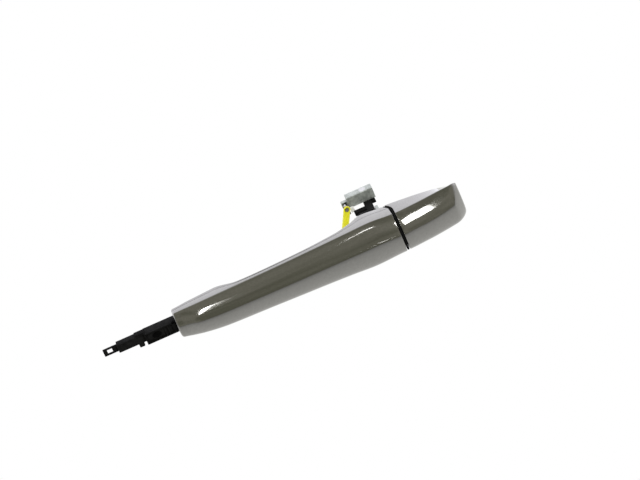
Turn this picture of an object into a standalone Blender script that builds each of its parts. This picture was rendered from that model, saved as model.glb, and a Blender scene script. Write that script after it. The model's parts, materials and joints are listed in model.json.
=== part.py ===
"""Pull-type outside door handle with its fixed end cap.

Frame: +X runs along the handle from the hinge arm to the end cap, +Y goes into the door,
+Z is up, and the door skin is the plane Y = 0. The origin is on the end cap's seat.
All sizes are in metres.
"""
import math

import bmesh
import bpy
from mathutils import Vector

MM = 0.001
GAP = 0.3 * MM

# Lengths along the handle
CAP_END_X = 28.8 * MM
CAP_START_X = -25.4 * MM
SEAL_WIDTH = 2.0 * MM
GRIP_LENGTH = 192.0 * MM
ARM_REACH = 63.0 * MM

# Shells
OUTER_WALL = 2.2 * MM
CAP_WALL = 2.2 * MM
GASKET_THICKNESS = 1.8 * MM
CORE_CLEARANCE = 0.6 * MM
BACK_SHELL_SHARE = 0.38
GRIP_STATIONS = 30
CAP_STATIONS = 18
FACE_STEPS = 12
CROWN_PLACE = 0.5

# Hinge arm
ARM_BOX_LENGTH = 27.0 * MM
ARM_BOX_HEIGHT = 10.0 * MM
ARM_BOX_DEPTH = 11.0 * MM
ARM_MID_HEIGHT = 7.4 * MM
ARM_MID_DEPTH = 7.0 * MM
ARM_MID_Y = -3.5 * MM
ARM_NOTCH = 2.6 * MM
ARM_FINGER = 4.4 * MM
ARM_FINGER_DROP = 3.6 * MM
ARM_TAB_LENGTH = 12.0 * MM
ARM_TAB_HEIGHT = 6.2 * MM
ARM_TAB_THICKNESS = 2.0 * MM
ARM_TAB_HOLE_X = 4.4 * MM
ARM_TAB_HOLE_Z = 3.8 * MM
ARM_TAB_RIM = 3.2 * MM
ARM_CENTRE_Z = -2.4 * MM
ARM_BOX_OUT = 1.0 * MM
ARM_BOX_DROP = 0.8 * MM
ARM_STEP = 16.0 * MM
ARM_STEP_RISE = 1.0 * MM
POCKET_SHARE = 0.38
POCKET_DEPTH = 2.0 * MM
POCKET_RADIUS = 2.8 * MM
POCKET_STRETCH = 1.6
TONGUE_FRONT_Y = -9.6 * MM
TONGUE_BACK_Y = -5.2 * MM
TONGUE_HEIGHT = 7.0 * MM
TONGUE_LENGTH = 15.0 * MM
ARM_SCREW_INSET = 7.0 * MM

# Rear leg and hook
LEG_X = -40.8 * MM
LEG_WIDTH = 6.4 * MM
LEG_TOP_Z = 9.0 * MM
LEG_HEIGHT = 12.0 * MM
LEG_FOOT = 4.6 * MM
BAR_LENGTH = 10.0 * MM
BAR_DEPTH = 5.0 * MM
BAR_HEIGHT = 3.4 * MM
BAR_Y = 22.6 * MM
TOE_THICKNESS = 2.2 * MM
BLOCK_START_X = -56.0 * MM
BLOCK_LENGTH = 23.2 * MM
BLOCK_DEPTH = 8.4 * MM
BLOCK_HEIGHT = 10.0 * MM
BLOCK_Y = 36.0 * MM
BLOCK_BOTTOM_Z = 8.0 * MM
BLOCK_SLOT_SHARE = 0.62
BLOCK_SLOT_WIDTH = 3.0 * MM
BLOCK_SLOT_DEPTH = 2.0 * MM
BLOCK_SLOT_HEIGHT = 3.2 * MM
BLOCK_SCREW_REACH = 7.0 * MM
EAR_LENGTH = 5.0 * MM
EAR_DEPTH = 4.0 * MM
PIN_RADIUS = 1.6 * MM
PIN_LENGTH = 10.0 * MM
PIN_Z = 10.4 * MM
PIN_TIP = 0.6 * MM
TAG_WIDTH = 5.6 * MM
TAG_LENGTH = 36.0 * MM
TAG_THICKNESS = 1.2 * MM
TAG_SLANT = math.radians(25.0)
PIN_RUNNING_GAP = 0.15 * MM

# Fixings
SCREW_RADIUS = 1.6 * MM
SCREW_HEAD_RADIUS = 3.0 * MM
SCREW_HEAD_HEIGHT = 1.4 * MM
CAP_SCREW_RADIUS = 2.5 * MM
CAP_SCREW_LENGTH = 16.0 * MM
CAP_SCREW_HEAD_RADIUS = 4.2 * MM
CAP_SCREW_HEAD_HEIGHT = 3.6 * MM
BOSS_RADIUS = 6.5 * MM
BOSS_DEPTH = 14.0 * MM
WASHER_THICKNESS = 1.2 * MM

# Pads, clips and plates
HOOK_PAD_DROP = 5.4 * MM
HOOK_PAD_SIZE = 3.0 * MM
HOOK_PAD_HEIGHT = 4.8 * MM
LEG_PLATE_START_Y = 1.0 * MM
LEG_PLATE_END_Y = 19.0 * MM
LEG_PLATE_THICKNESS = 2.6 * MM
LEG_PLATE_HEIGHT = 7.0 * MM
CLIP_DROP = 6.0 * MM
CLIP_RIM = 0.8 * MM
CLIP_THICKNESS = 1.0 * MM
INSERT_LENGTH = 6.0 * MM
INSERT_WALL = 1.8 * MM
WASHER_RADIUS = 6.0 * MM
BOSS_X = -12.0 * MM
BOSS_Z = -2.0 * MM
SEAL_RECESS = 0.5 * MM
LEG_PASSAGE = 1.6 * MM
GASKET_CORNER = 3.0 * MM
FRONT_PAD_LOW_Z = -11.0 * MM
FRONT_PAD_HIGH_Z = 7.0 * MM
REAR_PAD_SHARE = 0.86
REAR_PAD_DROP = 15.0 * MM

# Corners and edges
REAR_CORNER = 10.0 * MM
CORNER_SIDES = 10
END_INSET = 1.2 * MM
TRAY_EDGE = 1.6 * MM
MOULDING_EDGE = 0.4 * MM
CAP_HORN = 8.0 * MM

# The core and carrier fill this share of the shell that they sit in
CORE_TALL = 0.62
CORE_DEEP = 0.55

# Reach of a cutter past the pieces that it cuts
FAR = 60.0 * MM
HALF_TALL = 40.0 * MM

# Ends that follow from the lengths above
GRIP_END_X = CAP_START_X - SEAL_WIDTH - 2 * GAP
GRIP_START_X = GRIP_END_X - GRIP_LENGTH
ARM_TIP_X = GRIP_START_X - ARM_REACH
PAD_BACK_Y = -(GASKET_THICKNESS + GAP)

# Section lines, as pairs of (share of the length, millimetres)
GRIP_CREASE_Y = ((0.0, -8.6), (0.1, -11.0), (0.21, -12.6), (0.41, -15.0), (0.57, -16.6), (0.8, -17.8),
                 (1.0, -18.2))
GRIP_BACK_Y = ((0.0, 0.0), (0.2, 0.0), (0.3, -7.6), (0.42, -9.6), (0.6, -10.6), (0.74, -9.0), (0.83, -4.0),
               (0.87, -0.4), (0.9, 0.0), (1.0, 0.0))
GRIP_TOP_Z = ((0.0, 8.6), (0.08, 10.0), (0.21, 11.6), (0.41, 13.5), (0.57, 15.2), (0.8, 17.4),
              (0.9, 18.2), (1.0, 17.0))
GRIP_LOW_Z = ((0.0, -13.4), (0.05, -14.8), (0.21, -17.3), (0.41, -17.0), (0.6, -17.2), (0.75, -17.9),
              (0.86, -19.0), (1.0, -17.6))
GRIP_BULGE = ((0.0, 4.6), (0.1, 7.4), (0.3, 8.6), (0.7, 9.2), (1.0, 9.4))
CAP_CREASE_Y = ((0.0, -18.2), (0.3, -15.8), (0.6, -12.2), (0.85, -8.8), (1.0, -6.2))
CAP_TOP_Z = ((0.0, 16.6), (0.4, 15.6), (0.75, 14.6), (1.0, 13.6))
CAP_BACK_TOP_Z = ((0.0, 17.2), (0.3, 15.6), (0.6, 13.6), (1.0, 10.0))
CAP_LOW_Z = ((0.0, -17.2), (0.5, -18.1), (0.8, -18.4), (1.0, -16.4))
CAP_BULGE = ((0.0, 9.4), (0.5, 9.2), (0.85, 7.6), (1.0, 4.0))
LOW_FACE_STEP = 3.0 * MM
BACK_TAPER_Z = 1.0 * MM
BACK_RISE_Z = 0.8 * MM


def clear_scene():
    """Remove every object of the scene."""
    for item in list(bpy.data.objects):
        bpy.data.objects.remove(item, do_unlink=True)


def along(line, share):
    """Read a section line at a share of the length, with smooth steps between its points."""
    last = line[-1]
    if share >= last[0]:
        return last[1] * MM
    for (a, low), (b, high) in zip(line, line[1:]):
        if share <= b:
            t = (share - a) / (b - a)
            slope_a = tangent(line, a)
            slope_b = tangent(line, b)
            width = b - a
            value = ((2 * t**3 - 3 * t**2 + 1) * low + (t**3 - 2 * t**2 + t) * width * slope_a
                     + (3 * t**2 - 2 * t**3) * high + (t**3 - t**2) * width * slope_b)
            return value * MM
    return last[1] * MM


def tangent(line, place):
    """Slope of a section line at one of its points, flat at a turning point."""
    shares = [p[0] for p in line]
    k = shares.index(place)
    if k in (0, len(line) - 1):
        return 0.0
    before = (line[k][1] - line[k - 1][1]) / (line[k][0] - line[k - 1][0])
    after = (line[k + 1][1] - line[k][1]) / (line[k + 1][0] - line[k][0])
    if before * after <= 0:
        return 0.0
    return 2 * before * after / (before + after)


def face_points(crease, low, bulge):
    """Outer face from the crease to the lower corner: a slope, the crown, then a round lower part."""
    points = []
    for k in range(FACE_STEPS + 1):
        t = math.sin(math.pi / 2 * k / FACE_STEPS)
        if t < CROWN_PLACE:
            swell = 1.0 - (1.0 - t / CROWN_PLACE) ** 2
        else:
            swell = math.sqrt(max(0.0, 1.0 - ((t - CROWN_PLACE) / (1.0 - CROWN_PLACE)) ** 2))
        y = crease[0] + (low[0] - crease[0]) * t - bulge * swell
        z = crease[1] + (low[1] - crease[1]) * t
        points.append((y, z))
    return points


def grip_section(share, back_y, inset=0.0):
    """Closed outline (y, z) of the grip's front part at a share of its length, made smaller by inset."""
    crease_y = along(GRIP_CREASE_Y, share) + inset
    top = along(GRIP_TOP_Z, share) - inset
    low = along(GRIP_LOW_Z, share) + inset
    bulge = along(GRIP_BULGE, share)
    outline = [(back_y, top + BACK_RISE_Z * BACK_SHELL_SHARE)]
    outline += face_points((crease_y, top), (crease_y - LOW_FACE_STEP, low), bulge)
    outline.append((back_y, low + BACK_TAPER_Z))
    return outline


def cap_section(share, back, inset=0.0):
    """Closed outline (y, z) of the end cap at a share of its length, made smaller by inset."""
    crease_y = along(CAP_CREASE_Y, share) + inset
    top = along(CAP_TOP_Z, share) - inset
    low = along(CAP_LOW_Z, share) + inset
    back_top = along(CAP_BACK_TOP_Z, share) - inset
    outline = [(back, back_top)]
    outline += face_points((crease_y, top), (crease_y - LOW_FACE_STEP, low), along(CAP_BULGE, share))
    outline.append((back, low + BACK_TAPER_Z))
    return outline


def loft(name, sections):
    """Closed solid through a list of (x, outline) sections."""
    work = bmesh.new()
    rings = []
    for x, outline in sections:
        rings.append([work.verts.new((x, y, z)) for y, z in outline])
    count = len(rings[0])
    for ring, following in zip(rings, rings[1:]):
        for k in range(count):
            j = (k + 1) % count
            work.faces.new((ring[k], ring[j], following[j], following[k]))
    work.faces.new(rings[0])
    work.faces.new(list(reversed(rings[-1])))
    bmesh.ops.triangulate(work, faces=[f for f in work.faces if len(f.verts) > 4])
    bmesh.ops.recalc_face_normals(work, faces=work.faces)
    return keep(name, work)


def keep(name, work):
    """Turn a bmesh into a linked object."""
    mesh = bpy.data.meshes.new(name)
    work.to_mesh(mesh)
    work.free()
    item = bpy.data.objects.new(name, mesh)
    bpy.context.scene.collection.objects.link(item)
    return item


def box(name, low, high, bevel=0.0):
    """Box between two corners, with an optional edge bevel."""
    work = bmesh.new()
    bmesh.ops.create_cube(work, size=1.0)
    centre = (Vector(low) + Vector(high)) / 2
    size = Vector(high) - Vector(low)
    for vert in work.verts:
        vert.co = Vector((vert.co.x * size.x, vert.co.y * size.y, vert.co.z * size.z)) + centre
    if bevel:
        bmesh.ops.bevel(work, geom=list(work.edges), offset=bevel, segments=1, affect="EDGES")
    return keep(name, work)


def rod(name, start, end, radius, sides=16):
    """Cylinder from one point to another."""
    work = bmesh.new()
    span = Vector(end) - Vector(start)
    bmesh.ops.create_cone(work, cap_ends=True, segments=sides, radius1=radius, radius2=radius,
                          depth=span.length)
    turn = span.to_track_quat("Z", "Y").to_matrix()
    for vert in work.verts:
        vert.co = turn @ vert.co + (Vector(start) + Vector(end)) / 2
    return keep(name, work)


def prism(name, outline, low, high, plane="XZ"):
    """Flat outline extruded between two depths: along Y for XZ, along Z for XY."""
    work = bmesh.new()
    if plane == "XZ":
        verts = [work.verts.new((a, low, b)) for a, b in outline]
        push = (0, high - low, 0)
    else:
        verts = [work.verts.new((a, b, low)) for a, b in outline]
        push = (0, 0, high - low)
    face = work.faces.new(verts)
    grown = bmesh.ops.extrude_face_region(work, geom=[face])
    moved = [g for g in grown["geom"] if isinstance(g, bmesh.types.BMVert)]
    bmesh.ops.translate(work, verts=moved, vec=push)
    bmesh.ops.recalc_face_normals(work, faces=work.faces)
    return keep(name, work)


def combine(target, cutter, operation="DIFFERENCE"):
    """Apply a Boolean of the cutter to the target, and remove the cutter."""
    modifier = target.modifiers.new("combine", "BOOLEAN")
    modifier.operation = operation
    modifier.solver = "EXACT"
    modifier.object = cutter
    graph = bpy.context.evaluated_depsgraph_get()
    mesh = bpy.data.meshes.new_from_object(target.evaluated_get(graph))
    target.modifiers.clear()
    target.data = mesh
    bpy.data.objects.remove(cutter, do_unlink=True)


def finish(item, colour, roughness, metallic=0.0, smooth=False):
    """Give an object its material, and smooth shading where it is round."""
    material = bpy.data.materials.new(item.name)
    material.use_nodes = True
    shader = material.node_tree.nodes["Principled BSDF"]
    shader.inputs["Base Color"].default_value = (*colour, 1.0)
    shader.inputs["Roughness"].default_value = roughness
    shader.inputs["Metallic"].default_value = metallic
    item.data.materials.clear()
    item.data.materials.append(material)
    if smooth:
        item.data.shade_smooth()
        item.data.set_sharp_from_angle(angle=math.radians(35))
    return item


PAINT = (0.33, 0.31, 0.27)
BLACK = (0.02, 0.02, 0.02)
RUBBER = (0.03, 0.03, 0.03)
STEEL = (0.6, 0.6, 0.6)
ZINC = (0.62, 0.64, 0.62)
YELLOW = (0.95, 0.9, 0.03)


def shares(count, start=0.0, end=1.0):
    """Evenly spread shares of a length."""
    return [start + (end - start) * k / (count - 1) for k in range(count)]


def grip_x(share):
    """Place along X of a share of the grip's length."""
    return GRIP_START_X + GRIP_LENGTH * share


def split_y(share):
    """Depth of the parting line between the grip's two shells."""
    crease_y = along(GRIP_CREASE_Y, share)
    back_y = PAD_BACK_Y + along(GRIP_BACK_Y, share)
    return back_y + (crease_y - back_y) * BACK_SHELL_SHARE


def end_taper(share, count):
    """Shrink of the end sections, which rounds the ends of the grip."""
    edge = 1.0 / count
    near = min(share, 1.0 - share)
    return END_INSET if near < edge / 2 else 0.0


def make_grip():
    """Outer shell, inner shell and core of the grip."""
    wall_share = OUTER_WALL / GRIP_LENGTH
    outer = []
    for share in shares(GRIP_STATIONS):
        outline = grip_section(share, split_y(share) - GAP / 2, end_taper(share, GRIP_STATIONS))
        outer.append((grip_x(share), outline))
    shell = loft("grip_outer_shell", outer)
    hollow = []
    for share in shares(GRIP_STATIONS - 6, wall_share * 2, 1 - wall_share * 2.6):
        hollow.append((grip_x(share), grip_section(share, split_y(share) + 2 * MM, OUTER_WALL)))
    combine(shell, loft("hollow", hollow))

    inner = []
    for share in shares(GRIP_STATIONS):
        inset = end_taper(share, GRIP_STATIONS)
        back_y = PAD_BACK_Y + along(GRIP_BACK_Y, share)
        front_y = split_y(share) + GAP / 2
        top = along(GRIP_TOP_Z, share) - inset
        low = along(GRIP_LOW_Z, share) + inset
        depth = back_y - front_y
        soft = min(TRAY_EDGE, depth * 0.45)
        rise = top + BACK_RISE_Z
        outline = [(front_y, top + BACK_RISE_Z * BACK_SHELL_SHARE), (front_y, low + BACK_TAPER_Z * 0.6),
                   (back_y - soft, low + BACK_TAPER_Z), (back_y, low + BACK_TAPER_Z + soft),
                   (back_y, rise - soft), (back_y - soft, rise)]
        inner.append((grip_x(share), outline))
    tray = loft("grip_inner_shell", inner)
    core = make_core(wall_share)
    return shell, tray, core


def core_front(share):
    """Depth of the core's front face at a share of the grip's length."""
    return along(GRIP_CREASE_Y, share) + OUTER_WALL + CORE_CLEARANCE - along(GRIP_BULGE, share) * CORE_DEEP


def make_core(wall_share):
    """Stiffening bar in the hollow of the outer shell."""
    bar = []
    inset = OUTER_WALL + CORE_CLEARANCE
    for share in shares(GRIP_STATIONS, wall_share * 8, 1 - wall_share * 3.5):
        back = split_y(share) - GAP
        crease_y = core_front(share)
        top = (along(GRIP_TOP_Z, share) - inset) * CORE_TALL
        low = (along(GRIP_LOW_Z, share) + inset) * CORE_TALL
        bar.append((grip_x(share), [(back, top), (crease_y, top), (crease_y, low), (back, low)]))
    return loft("grip_core", bar)


def corner_arc(radius):
    """Centre and arc of the grip's rounded rear corner in plan, at a given radius."""
    centre = Vector((GRIP_END_X - REAR_CORNER, PAD_BACK_Y - REAR_CORNER))
    outline = []
    for k in range(CORNER_SIDES + 1):
        angle = math.pi / 2 * (1 - k / CORNER_SIDES)
        outline.append((centre.x + radius * math.cos(angle), centre.y + radius * math.sin(angle)))
    return centre, outline


def cut_rear_corner(items):
    """Round the grip's rear back corner in plan."""
    centre, arc = corner_arc(REAR_CORNER)
    for item in items:
        outline = arc + [(GRIP_END_X + FAR, centre.y), (GRIP_END_X + FAR, FAR), (centre.x, FAR)]
        combine(item, prism("corner", outline, -HALF_TALL, HALF_TALL, plane="XY"))


def fasten(name, place, front_y, back_y, through, into, head_back):
    """Screw along Y with its head at the back, and its holes in the pieces it joins."""
    x, z = place
    for item in through + into:
        combine(item, rod("hole", (x, front_y, z), (x, back_y + MM, z), SCREW_RADIUS + GAP))
    if head_back:
        recess = (x, back_y - SCREW_HEAD_HEIGHT - GAP, z)
        combine(through[0], rod("recess", recess, (x, back_y + MM, z), SCREW_HEAD_RADIUS + GAP))
        work = rod(name, (x, front_y + GAP, z), (x, back_y - SCREW_HEAD_HEIGHT * 0.5, z), SCREW_RADIUS)
        head = rod("head", (x, back_y - SCREW_HEAD_HEIGHT, z), (x, back_y, z), SCREW_HEAD_RADIUS)
    else:
        work = rod(name, (x, front_y - SCREW_HEAD_HEIGHT * 0.5, z), (x, back_y - GAP, z), SCREW_RADIUS)
        head = rod("head", (x, front_y - SCREW_HEAD_HEIGHT, z), (x, front_y - GAP, z), SCREW_HEAD_RADIUS)
    combine(work, head, "UNION")
    return finish(work, STEEL, 0.35, 1.0, smooth=True)


def make_arm(shell):
    """Hinge arm with its notch, finger and pierced end tab, and its hole in the grip's end."""
    z = ARM_CENTRE_Z
    box_end = GRIP_START_X - GAP
    box_start = box_end - ARM_BOX_LENGTH
    notch_start = box_start - ARM_NOTCH
    finger_start = notch_start - ARM_FINGER
    mid_start = ARM_TIP_X + ARM_TAB_LENGTH
    mid_low = (ARM_MID_Y - ARM_MID_DEPTH / 2, z - ARM_MID_HEIGHT / 2)
    mid_high = (ARM_MID_Y + ARM_MID_DEPTH / 2, z + ARM_MID_HEIGHT / 2)
    box_y = ARM_MID_Y - ARM_BOX_OUT
    box_z = z - ARM_BOX_DROP
    arm = box("hinge_arm", (mid_start, *mid_low), (box_start + MM, *mid_high), MOULDING_EDGE)
    pieces = [
        box("box", (box_start, box_y - ARM_BOX_DEPTH / 2, box_z - ARM_BOX_HEIGHT / 2),
            (box_end, box_y + ARM_BOX_DEPTH / 2, box_z + ARM_BOX_HEIGHT / 2), 0.6 * MM),
        box("step", (mid_start + ARM_STEP, mid_low[0] + 0.5 * MM, z),
            (box_start + MM, mid_high[0] - 0.5 * MM, mid_high[1] + ARM_STEP_RISE)),
        box("finger", (finger_start, mid_low[0] + 0.4 * MM, mid_low[1] - ARM_FINGER_DROP),
            (notch_start, mid_high[0] - 2.0 * MM, z)),
        box("tongue", (box_end - 2 * MM, TONGUE_FRONT_Y, z - TONGUE_HEIGHT / 2),
            (box_end + TONGUE_LENGTH, TONGUE_BACK_Y, z + TONGUE_HEIGHT / 2)),
        box("tab", (ARM_TIP_X, ARM_MID_Y - ARM_TAB_THICKNESS / 2, z - ARM_TAB_HEIGHT / 2),
            (mid_start + MM, ARM_MID_Y + ARM_TAB_THICKNESS / 2, z + ARM_TAB_HEIGHT / 2)),
    ]
    for piece in pieces:
        combine(arm, piece, "UNION")
    hole_x = ARM_TIP_X + ARM_TAB_RIM
    hole = box("hole", (hole_x, -9 * MM, z - ARM_TAB_HOLE_Z / 2),
               (hole_x + ARM_TAB_HOLE_X, 9 * MM, z + ARM_TAB_HOLE_Z / 2))
    combine(arm, hole)
    pocket_x = box_start + ARM_BOX_LENGTH * POCKET_SHARE
    front = box_y - ARM_BOX_DEPTH / 2
    pocket = rod("pocket", (pocket_x, front - MM, box_z), (pocket_x, front + POCKET_DEPTH, box_z),
                 POCKET_RADIUS, 20)
    for vert in pocket.data.vertices:
        vert.co.x = pocket_x + (vert.co.x - pocket_x) * POCKET_STRETCH
    combine(arm, pocket)
    slot = box("slot", (GRIP_START_X - 3 * MM, TONGUE_FRONT_Y - GAP, z - TONGUE_HEIGHT / 2 - GAP),
               (GRIP_START_X + 9 * MM, split_y(0.0) + MM, z + TONGUE_HEIGHT / 2 + GAP))
    combine(shell, slot)
    return arm


def make_leg(tray):
    """Rear leg with its bar and toe, and its hole in the inner shell."""
    low_x = LEG_X - LEG_WIDTH / 2
    high_x = LEG_X + LEG_WIDTH / 2
    low_z = LEG_TOP_Z - LEG_HEIGHT
    share = (LEG_X - GRIP_START_X) / GRIP_LENGTH
    root_y = split_y(share)
    front_of_block = BLOCK_Y - BLOCK_DEPTH / 2
    leg = box("hook_post", (low_x, root_y, low_z), (high_x, front_of_block - GAP, LEG_TOP_Z), MOULDING_EDGE)
    toe_end = (high_x, BLOCK_Y + BLOCK_DEPTH / 2, BLOCK_BOTTOM_Z - GAP)
    toe = box("toe", (low_x, front_of_block - 2 * MM, low_z), toe_end)
    bar = box("bar", (low_x - BAR_LENGTH, BAR_Y - BAR_DEPTH / 2, LEG_TOP_Z - BAR_HEIGHT),
              (low_x + MM, BAR_Y + BAR_DEPTH / 2, LEG_TOP_Z - 0.2 * MM))
    foot_top = BLOCK_BOTTOM_Z - GAP
    foot = box("foot", (high_x - MM, front_of_block - 3 * MM, foot_top - TOE_THICKNESS),
               (high_x + LEG_FOOT - MM, front_of_block + 3 * MM, foot_top - 0.1 * MM))
    for piece in (toe, bar, foot):
        combine(leg, piece, "UNION")
    combine(tray, leg_hole(root_y - MM, high_x + GAP))
    return finish(leg, BLACK, 0.6)


def leg_hole(start_y, end_x):
    """Cutter for the hole that the rear leg passes through."""
    low = (LEG_X - LEG_WIDTH / 2 - GAP, start_y, LEG_TOP_Z - LEG_HEIGHT - GAP)
    return box("hole", low, (end_x, FAR, LEG_TOP_Z + GAP))


def make_hook():
    """Die-cast hook block with its ear, the pin, its clip, the pad and the side plate."""
    low_y = BLOCK_Y - BLOCK_DEPTH / 2
    high_y = BLOCK_Y + BLOCK_DEPTH / 2
    top = BLOCK_BOTTOM_Z + BLOCK_HEIGHT
    end_x = BLOCK_START_X + BLOCK_LENGTH
    block = box("hook_block", (BLOCK_START_X, low_y, BLOCK_BOTTOM_Z), (end_x, high_y, top), 0.5 * MM)
    pin_x = BLOCK_START_X - EAR_LENGTH / 2
    ear = box("ear", (BLOCK_START_X - EAR_LENGTH, high_y - EAR_DEPTH, PIN_Z - EAR_LENGTH / 2),
              (BLOCK_START_X + MM, high_y, PIN_Z + EAR_LENGTH / 2))
    combine(block, ear, "UNION")
    start = high_y - PIN_LENGTH - EAR_DEPTH + MM
    combine(block, rod("hole", (pin_x, start, PIN_Z), (pin_x, high_y + MM, PIN_Z), PIN_RADIUS + GAP))
    slot_x = BLOCK_START_X + BLOCK_LENGTH * BLOCK_SLOT_SHARE
    slot = box("slot", (slot_x, low_y - MM, top - BLOCK_SLOT_HEIGHT),
               (slot_x + BLOCK_SLOT_WIDTH, low_y + BLOCK_SLOT_DEPTH, top + MM))
    combine(block, slot)
    finish(block, ZINC, 0.4, 0.9)
    pin = rod("hook_pin", (pin_x, start, PIN_Z), (pin_x, high_y - GAP, PIN_Z), PIN_RADIUS)
    finish(pin, STEEL, 0.3, 1.0, smooth=True)

    tag_y = start + PIN_TIP
    clip_y = tag_y + TAG_THICKNESS + GAP * 2
    clip_low = (pin_x - PIN_RADIUS - CLIP_RIM, clip_y, PIN_Z - CLIP_DROP)
    clip_high = (pin_x + PIN_RADIUS + CLIP_RIM / 2, clip_y + CLIP_THICKNESS, PIN_Z + PIN_RADIUS + CLIP_RIM)
    clip = box("pin_clip", clip_low, clip_high)
    hole = rod("hole", (pin_x, clip_y - MM, PIN_Z), (pin_x, clip_y + 2 * MM, PIN_Z), PIN_RADIUS + GAP / 3)
    combine(clip, hole)
    finish(clip, (0.08, 0.05, 0.03), 0.5, 0.6)
    pad_x = BLOCK_START_X + GAP
    pad_front = tag_y + TAG_THICKNESS + GAP
    pad = box("hook_pad", (pad_x, pad_front, PIN_Z - HOOK_PAD_DROP),
              (pad_x + HOOK_PAD_SIZE, low_y - GAP, PIN_Z - HOOK_PAD_DROP + HOOK_PAD_HEIGHT), 0.3 * MM)
    finish(pad, (0.8, 0.8, 0.76), 0.5)
    plate_x = LEG_X + LEG_WIDTH / 2 + GAP
    plate_low = (plate_x, LEG_PLATE_START_Y, LEG_TOP_Z - LEG_PLATE_HEIGHT)
    plate_high = (plate_x + LEG_PLATE_THICKNESS, LEG_PLATE_END_Y, LEG_TOP_Z - GAP)
    plate = box("leg_plate", plate_low, plate_high, 0.3 * MM)
    finish(plate, ZINC, 0.35, 0.9)
    make_tag(pin_x, tag_y)
    return block


def make_tag(pin_x, tag_y):
    """Yellow tag that hangs and swings on the pin, with its origin on the pin's axis."""
    half = TAG_WIDTH / 2
    outline = []
    for k in range(9):
        angle = math.pi * k / 8
        outline.append((half * math.cos(angle), half * math.sin(angle)))
    outline += [(-half, -TAG_LENGTH + 2 * half), (-half * 0.4, -TAG_LENGTH + half)]
    outline += [(half * 0.4, -TAG_LENGTH + half), (half, -TAG_LENGTH + 2 * half)]
    tag = prism("transit_tag", outline, 0.0, TAG_THICKNESS)
    combine(tag, rod("hole", (0, -MM, 0), (0, 2 * TAG_THICKNESS, 0), PIN_RADIUS + PIN_RUNNING_GAP))
    tag.rotation_euler = (0.0, TAG_SLANT, 0.0)
    tag.location = (pin_x, tag_y, PIN_Z)
    finish(tag, YELLOW, 0.45)


def make_block_screw(block, leg):
    """Screw down through the hook block into the leg's toe, its head in a recess of the block."""
    top = BLOCK_BOTTOM_Z + BLOCK_HEIGHT
    low = BLOCK_BOTTOM_Z - BLOCK_SCREW_REACH
    seat = top - SCREW_HEAD_HEIGHT
    for item in (block, leg):
        combine(item, rod("hole", (LEG_X, BLOCK_Y, low), (LEG_X, BLOCK_Y, top + MM), SCREW_RADIUS + GAP))
    recess = rod("recess", (LEG_X, BLOCK_Y, seat - GAP), (LEG_X, BLOCK_Y, top + MM),
                 SCREW_HEAD_RADIUS + GAP)
    combine(block, recess)
    screw = rod("block_screw", (LEG_X, BLOCK_Y, low + GAP), (LEG_X, BLOCK_Y, seat + GAP), SCREW_RADIUS)
    head = rod("head", (LEG_X, BLOCK_Y, seat), (LEG_X, BLOCK_Y, top - GAP), SCREW_HEAD_RADIUS)
    combine(screw, head, "UNION")
    finish(screw, STEEL, 0.35, 1.0, smooth=True)


def gasket(name, low_x, high_x, low_z, high_z):
    """Flat rubber pad with cut corners, against the door skin."""
    cut = GASKET_CORNER
    outline = [(low_x + cut, low_z), (high_x - cut, low_z), (high_x, low_z + cut), (high_x, high_z - cut),
               (high_x - cut, high_z), (low_x + cut, high_z), (low_x, high_z - cut), (low_x, low_z + cut)]
    return finish(prism(name, outline, -GASKET_THICKNESS, 0.0), RUBBER, 0.8)


def make_seal():
    """Rubber seal on the cap's front edge, which follows the grip's end and its rounded corner.

    It ends beside the leg plate, which passes it as the grip is pulled out.
    """
    outline = cap_section(0.0, PAD_BACK_Y, SEAL_RECESS)
    plate_end_x = LEG_X + LEG_WIDTH / 2 + GAP + LEG_PLATE_THICKNESS
    seal = loft("joint_seal", [(plate_end_x + LEG_PASSAGE, outline), (CAP_START_X + MM, outline)])
    centre, near_arc = corner_arc(REAR_CORNER + 2 * GAP)
    far_x = centre.x - MM
    inside = [(far_x, near_arc[0][1])] + near_arc + [(near_arc[-1][0], -FAR), (far_x, -FAR)]
    _, far_arc = corner_arc(REAR_CORNER + SEAL_WIDTH + GAP)
    beyond = far_arc + [(far_arc[-1][0], -FAR), (CAP_END_X, -FAR), (CAP_END_X, far_arc[0][1])]
    combine(seal, prism("inside", inside, -HALF_TALL, HALF_TALL, plane="XY"))
    combine(seal, prism("beyond", beyond, -HALF_TALL, HALF_TALL, plane="XY"))
    finish(seal, RUBBER, 0.7)


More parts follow.
